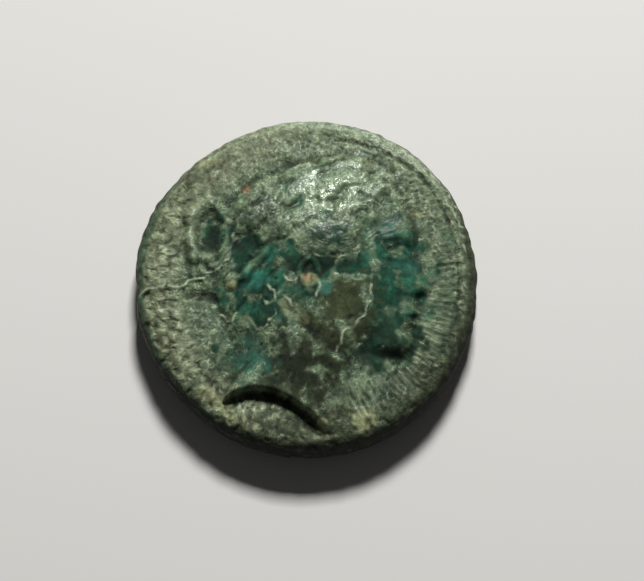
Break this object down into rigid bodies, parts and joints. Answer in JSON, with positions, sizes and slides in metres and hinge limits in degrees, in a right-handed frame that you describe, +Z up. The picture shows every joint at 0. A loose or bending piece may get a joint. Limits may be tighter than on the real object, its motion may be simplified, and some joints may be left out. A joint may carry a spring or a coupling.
{
  "type": "ancient bronze coin",
  "caption": "Thick struck bronze coin with a young head in profile on one face and a worn horse on the other, green with age.",
  "frame": {"origin": "on the table surface, under the middle of the coin's box", "axes": "+Z up out of the head side, +Y towards the top of the head, +X the way the head looks"},
  "size_m": [0.0172, 0.0172, 0.0042],
  "materials": {
    "patinated_bronze": "worn bronze under a sage-green and dark teal patina, with olive bare patches and cream deposits"
  },
  "bodies": {
    "root": {"coin": "patinated_bronze"}
  },
  "joints": []
}
